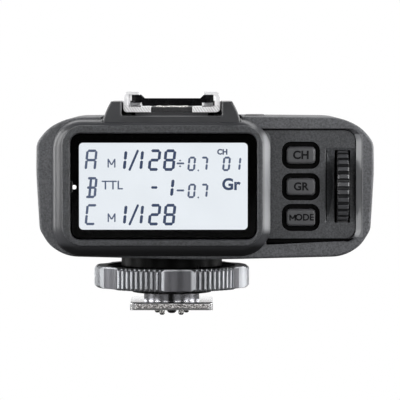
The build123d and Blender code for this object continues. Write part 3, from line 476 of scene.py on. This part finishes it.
def clear_glass():
    """Display glass, with a small black patch of painted shade on its left edge beside the indicator light.
    """
    shader = Shader("window_glass", (0.97, 0.98, 0.99), 0.02)
    low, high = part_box("display_window")
    middle = (low.z + high.z) / 2
    patch_width, patch_half = 0.00038, 0.0012
    # painted shade: a black patch on the left edge, where the indicator's glow shows through the glass edge
    edge = shader.within((None, None, middle - patch_half),
                         (low.x + patch_width, None, middle + patch_half), 0.00003)
    clear = shader.spread(edge, 1, 0, 0, 1)
    shader.feed("Transmission Weight", clear)
    shader.feed("Base Color", shader.blend(clear, (0.003, 0.003, 0.003), (0.97, 0.98, 0.99)))
    shader.set("IOR", 1.45)
    shader.feed("Roughness", shader.spread(shader.noise(0.004), 0.0, 0.03))
    return shader.material


def glowing(name, color, strength, size=0.008, amount=0.04):
    """Evenly lit translucent plate with a slightly uneven glow."""
    shader = Shader(name, (0.005, 0.005, 0.005), 0.5, specular=0.0)
    patch = shader.spread(shader.noise(size), 0, 1)
    dim = tuple(c * (1 - amount) for c in color)
    shader.feed("Emission Color", shader.blend(patch, dim, color))
    shader.set("Emission Strength", strength)
    return shader.material


def indicator_light():
    """Clear pipe whose face glows white where the lens in front leaves it open."""
    shader = Shader("indicator_glow", (0.02, 0.02, 0.02), 0.4)
    low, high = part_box("indicator_pipe")
    lit = shader.within((low.x + 0.00012, None, None), (None, low.y + 0.0002, None), 0.00004)
    uneven = shader.spread(shader.noise(0.0006), 1.15, 1.35)
    shader.set("Emission Color", (1.0, 1.0, 1.0, 1.0))
    shader.feed("Emission Strength", shader.times(lit, uneven))
    return shader.material


def circuit_board():
    """Solder mask over copper: a maze of slightly raised, lighter traces."""
    shader = Shader("circuit_board", (0.02, 0.16, 0.07), 0.35)
    cells = shader.node("ShaderNodeTexBrick", {"Vector": shader.coords}, offset=0.37, squash=0.6)
    cells.inputs["Scale"].default_value = 420
    cells.inputs["Mortar Size"].default_value = 0.035
    cells.inputs["Color1"].default_value = (0.012, 0.10, 0.045, 1)
    cells.inputs["Color2"].default_value = (0.018, 0.14, 0.06, 1)
    cells.inputs["Mortar"].default_value = (0.05, 0.27, 0.12, 1)
    shader.feed("Base Color", cells.outputs["Color"])
    shader.bump(cells.outputs["Fac"], 0.00003)
    return shader.material


def cell_jacket():
    """Printed sleeve of an AA cell: dark body, copper band towards the positive end."""
    shader = Shader("cell_jacket", (0.02, 0.02, 0.025), 0.25)
    split = shader.node("ShaderNodeSeparateXYZ", {"Vector": shader.coords})
    low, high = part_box("battery_cells")
    band = shader.spread(split.outputs["X"], 0, 1, low.x + 0.0140, low.x + 0.0142)
    printed = shader.blend(band, (0.45, 0.19, 0.05), (0.022, 0.022, 0.027))
    cap = shader.spread(split.outputs["X"], 1, 0, low.x + 0.0013, low.x + 0.0014)
    shader.feed("Base Color", shader.blend(cap, printed, (0.6, 0.6, 0.58)))
    shader.feed("Metallic", cap)
    shader.bump(shader.noise(0.003), 0.00001)
    return shader.material


def red_window():
    """Dark red ribbed window in front of the focus lamp."""
    shader = Shader("red_window", (0.16, 0.006, 0.008), 0.07, specular=0.6)
    shader.mottle(0.004, 0.15)
    ribs = shader.node("ShaderNodeTexWave", {"Vector": shader.coords}, bands_direction="X")
    ribs.inputs["Scale"].default_value = 330
    shader.bump(ribs.outputs["Fac"], 0.00004, under=shader.round_edges(0.0002))
    return shader.material


def make_materials():
    """Every material slot of the record, by its name."""
    return {
        "textured_plastic": moulded_plastic("textured_plastic", (0.066, 0.068, 0.073), 0.52,
                                            0.00042, 0.00006),
        "satin_black_plastic": moulded_plastic("satin_black_plastic", (0.035, 0.036, 0.039), 0.34,
                                               depth=0.000008, wear=0.2),
        "gloss_black_plastic": moulded_plastic("gloss_black_plastic", (0.006, 0.006, 0.007), 0.16,
                                               depth=0.000002, wear=0.1, specular=0.3),
        "button_plastic": moulded_plastic("button_plastic", (0.066, 0.067, 0.071), 0.40, depth=0.000008),
        "window_glass": clear_glass(),
        "black_film": moulded_plastic("black_film", (0.001, 0.001, 0.001), 0.6, depth=0.000001, wear=0.0,
                                      specular=0.0),
        "lcd_panel": glowing("lcd_panel", (0.86, 0.90, 0.94), 1.04),
        "light_guide": glowing("light_guide", (0.9, 0.93, 0.95), 1.2),
        "inner_plastic": moulded_plastic("inner_plastic", (0.03, 0.03, 0.033), 0.5),
        "flex_film": moulded_plastic("flex_film", (0.42, 0.17, 0.03), 0.3, depth=0.000003),
        "circuit_board": circuit_board(),
        "chip_epoxy": moulded_plastic("chip_epoxy", (0.02, 0.02, 0.02), 0.55),
        "contact_block": moulded_plastic("contact_block", (0.022, 0.022, 0.024), 0.45),
        "chrome_steel": plated_metal("chrome_steel", (0.93, 0.93, 0.94), 0.46),
        "zinc_steel": plated_metal("zinc_steel", (0.55, 0.55, 0.53), 0.32),
        "spring_steel": plated_metal("spring_steel", (0.66, 0.66, 0.67), 0.18),
        "silver_brass": plated_metal("silver_brass", (0.78, 0.77, 0.74), 0.25),
        "screw_steel": plated_metal("screw_steel", (0.22, 0.22, 0.23), 0.35),
        "gunmetal": plated_metal("gunmetal", (0.50, 0.51, 0.53), 0.28, brush=(1, 1, 0.12), depth=0.0000015),
        "black_steel": plated_metal("black_steel", (0.05, 0.05, 0.052), 0.35),
        "cell_jacket": cell_jacket(),
        "jack_plastic": moulded_plastic("jack_plastic", (0.012, 0.012, 0.013), 0.25),
        "red_window": red_window(),
    }


def dress_cad_nodes(materials):
    """Gives every CAD node its slot's material."""
    for entry in frame["record"]["subparts"]:
        mesh = nodes[entry["node"]].data
        mesh.materials.clear()
        mesh.materials.append(materials[entry["material_slot"]])


# ------------------------------------------------------------------ flat marks
def flat_piece(name, polygons, place, body, material, thickness=0.00003):
    """Thin raised marks. Polygons are lists of (x, y) metres; place maps x, y and height to a point."""
    verts, faces = [], []
    for outline in polygons:
        start, count = len(verts), len(outline)
        for height in (0.0, thickness):
            verts += [place(x, y, height) for x, y in outline]
        faces.append([start + k for k in reversed(range(count))])
        faces.append([start + count + k for k in range(count)])
        for k in range(count):
            after = (k + 1) % count
            faces.append([start + k, start + after, start + count + after, start + count + k])
    mesh = bpy.data.meshes.new(name)
    mesh.from_pydata(verts, [], faces)
    mesh.update()
    mesh.materials.append(material)
    piece = bpy.data.objects.new(name, mesh)
    bpy.context.scene.collection.objects.link(piece)
    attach(piece, body)
    return piece


def facing_user(depth):
    """Maps outline points on to a plane at that depth that faces the user."""
    return lambda x, y, height: (x, depth - height, y)


SEGMENTS = {
    "0": "abcdef", "1": "bc", "2": "abged", "7": "abc", "8": "abcdefg",
    "A": "abcefg", "B": "abcdefg", "C": "adef",
}


def bar(x0, y0, x1, y1, width):
    """Lozenge-ended bar between two points."""
    along = Vector((x1 - x0, y1 - y0))
    length = along.length
    along.normalize()
    across = Vector((-along.y, along.x))
    half, tip = width / 2, width * 0.36
    out = []
    for distance, side in ((0, 0), (tip, 1), (length - tip, 1), (length, 0), (length - tip, -1), (tip, -1)):
        point = Vector((x0, y0)) + along * distance + across * (half * side)
        out.append((point.x, point.y))
    return out


def digit(sign, left, bottom, width, height, stroke, slant=0.10):
    """Seven-segment character as a list of polygons."""
    gap = stroke * 0.08
    half = height / 2
    inset = stroke / 2
    spots = {
        "a": (inset, height - inset, width - inset, height - inset),
        "g": (inset, half, width - inset, half),
        "d": (inset, inset, width - inset, inset),
        "f": (inset, half, inset, height - inset),
        "e": (inset, inset, inset, half),
        "b": (width - inset, half, width - inset, height - inset),
        "c": (width - inset, inset, width - inset, half),
    }
    polygons = []
    if sign == "B":
        spots["e"] = (width * 0.42, inset, width * 0.42, half)
        spots["f"] = (width * 0.42, half, width * 0.42, height - inset)
    for name in SEGMENTS[sign]:
        x0, y0, x1, y1 = spots[name]
        if y0 == y1:
            x0, x1 = x0 + gap, x1 - gap
        else:
            y0, y1 = y0 + gap, y1 - gap
        shape = bar(x0, y0, x1, y1, stroke)
        polygons.append([(left + x + slant * y, bottom + y) for x, y in shape])
    return polygons


def letter_m(left, bottom, width, height, stroke):
    """Capital M as four bars."""
    half = stroke / 2
    x0, x1, middle = left + half, left + width - half, left + width / 2
    shoulder, dip = bottom + height - half, bottom + height * 0.3
    spots = (
        (x0, bottom, x0, bottom + height), (x1, bottom, x1, bottom + height),
        (x0, shoulder, middle, dip), (x1, shoulder, middle, dip),
    )
    return [bar(*spot, stroke) for spot in spots]


def add_readout(materials):
    """Readout: three groups with power level, correction and channel. Places are mm on the display."""
    view_low, view_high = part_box("lcd_glass")
    left, top = view_low.x + 0.35 * MM, view_high.z - 0.35 * MM
    face = view_low.y
    ink = materials["ink"]
    pale = materials["pale_ink"]
    row_drop = {"A": 1.45, "B": 7.50, "C": 13.45}      # mm from the window's top to each row's top
    big_h, small_h = 4.75, 3.2
    strong, light = [], []

    def at(x, drop):
        return left + x * MM, top - drop * MM

    def put(target, sign, x, drop, width, height, stroke):
        x0, y0 = at(x, drop + height)
        target.extend(digit(sign, x0, y0, width * MM, height * MM, stroke * MM))

    for group, drop in row_drop.items():
        put(light, group, 1.15, drop + 0.05, 2.5, 4.65, 0.54)
    for drop in (row_drop["A"], row_drop["C"]):
        put(strong, "1", 9.1, drop, 1.1, big_h, 0.64)
        x0, y0 = at(11.0, drop + big_h)
        x1, y1 = at(13.0, drop + 0.1)
        strong.append(bar(x0, y0, x1, y1, 0.50 * MM))
        put(strong, "1", 12.75, drop, 1.1, big_h, 0.64)
        put(strong, "2", 15.05, drop, 2.6, big_h, 0.64)
        put(strong, "8", 18.35, drop, 2.6, big_h, 0.64)
    put(strong, "1", 19.5, row_drop["B"] + 0.2, 1.1, 4.4, 0.66)
    x0, y0 = at(15.8, row_drop["B"] + 2.35)
    strong.append(bar(x0, y0, x0 + 1.45 * MM, y0, 0.55 * MM))
    for group, sign_drop in (("A", 3.1), ("B", 3.0)):
        drop = row_drop[group]
        x0, y0 = at(21.4, drop + sign_drop)
        light.append(bar(x0, y0, x0 + 1.75 * MM, y0, 0.42 * MM))
        if group == "A":
            for step in (-0.62, 0.62):
                middle = x0 + 0.8 * MM
                light.append(bar(middle, y0 + (step - 0.22) * MM, middle, y0 + (step + 0.22) * MM, 0.48 * MM))
        small_drop = drop + (1.6 if group == "A" else 1.5)
        put(light, "0", 23.75, small_drop, 1.7, small_h, 0.46)
        x0, y0 = at(26.05, small_drop + small_h - 0.15)
        light.append(bar(x0 - 0.05 * MM, y0, x0 + 0.35 * MM, y0, 0.4 * MM))
        put(light, "7", 26.45, small_drop, 1.7, small_h, 0.46)
    put(light, "0", 31.4, row_drop["A"] + 1.6, 1.7, small_h, 0.46)
    put(light, "1", 33.9, row_drop["A"] + 1.6, 1.5, small_h, 0.46)
    for group in "AC":
        x0, y0 = at(6.25, row_drop[group] + 4.05)
        light.extend(letter_m(x0, y0, 1.75 * MM, 2.0 * MM, 0.30 * MM))
    place = facing_user(face)
    flat_piece("readout_power", strong, place, HOUSING, ink, 0.00002)
    flat_piece("readout_groups", light, place, HOUSING, pale, 0.00002)

    words = [
        ("TTL", 4.95, row_drop["B"] + 2.75, 2.75, 0.012, pale),
        ("CH", 30.35, row_drop["A"] + 1.1, 1.6, 0.045, ink),
        ("Gr", 31.4, row_drop["B"] + 2.8, 3.5, 0.035, ink),
    ]
    for index, (text, x, drop, size, weight, material) in enumerate(words):
        x0, y0 = at(x, drop)
        label(f"readout_word_{index}", text, (x0, face - 0.00002, y0), size * MM, material,
              weight=weight, align="LEFT")


def label(name, text, place, size, material, body=HOUSING, weight=0.0, align="CENTER"):
    """Short word in the built-in sans font, as a thin mesh that faces the user."""
    curve = bpy.data.curves.new(name, "FONT")
    curve.body = text
    curve.size = size
    curve.offset = weight * size
    curve.extrude = 0.00001
    curve.align_x = align
    curve.align_y = "CENTER" if align == "CENTER" else "BOTTOM_BASELINE"
    curve.resolution_u = 4
    shape = bpy.data.objects.new(name + "_shape", curve)
    bpy.context.scene.collection.objects.link(shape)
    shape.rotation_euler = Euler((radians(90), 0, 0))
    shape.location = place
    bpy.context.view_layer.update()
    mesh = bpy.data.meshes.new_from_object(shape)
    mesh.transform(shape.matrix_world)
    bpy.data.objects.remove(shape)
    mesh.materials.clear()
    mesh.materials.append(material)
    piece = bpy.data.objects.new(name, mesh)
    bpy.context.scene.collection.objects.link(piece)
    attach(piece, body)
    return piece


def add_button_legends(materials):
    """Generic function words on the three caps."""
    for node, text, size in (("channel", "CH", 2.5), ("group", "GR", 2.4), ("mode", "MODE", 2.0)):
        low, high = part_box(f"button_{node}")
        face = low.y - 0.00001
        place = ((low.x + high.x) / 2, face, (low.z + high.z) / 2)
        if text.startswith("M"):
            x0, y0 = place[0] - 2.55 * MM, place[2] - 0.72 * MM
            flat_piece("legend_mode_initial", letter_m(x0, y0, 1.45 * MM, 1.44 * MM, 0.30 * MM),
                       facing_user(low.y), f"{node}_key", materials["legend_ink"], 0.00002)
            text, place = text[1:], (place[0] + 0.8 * MM, face, place[2])
        label(f"legend_{node}", text, place, size * MM, materials["legend_ink"],
              body=f"{node}_key", weight=0.03)


def extra_materials(materials):
    """Inks that aren't a CAD node's own finish."""
    materials["ink"] = glowing("display_ink", (0.058, 0.082, 0.155), 0.9)
    materials["pale_ink"] = glowing("display_pale_ink", (0.115, 0.145, 0.23), 0.9)
    materials["legend_ink"] = moulded_plastic("legend_ink", (0.006, 0.006, 0.007), 0.6, depth=0.000002,
                                             wear=0.0, specular=0.1)
    materials["collar_plastic"] = moulded_plastic("collar_plastic", FULL_BLACK, 0.3, depth=0.000004,
                                                  wear=0.1, specular=0.06)


set_stage()
materials = make_materials()
extra_materials(materials)
dress_cad_nodes(materials)
own_finishes = {
    "indicator_pipe": indicator_light(),
    "rear_cover": cover_plastic(),
    "mounting_foot": foot_steel(),
    "shoe_rails": rail_steel(),
    "bottom_collar": materials["collar_plastic"],
    "main_housing": shell_plastic(),
    "lock_ring": ring_steel(),
    "dial_wheel": wheel_rubber(),
}
for node, material in own_finishes.items():
    nodes[node].data.materials[0] = material
add_readout(materials)
add_button_legends(materials)
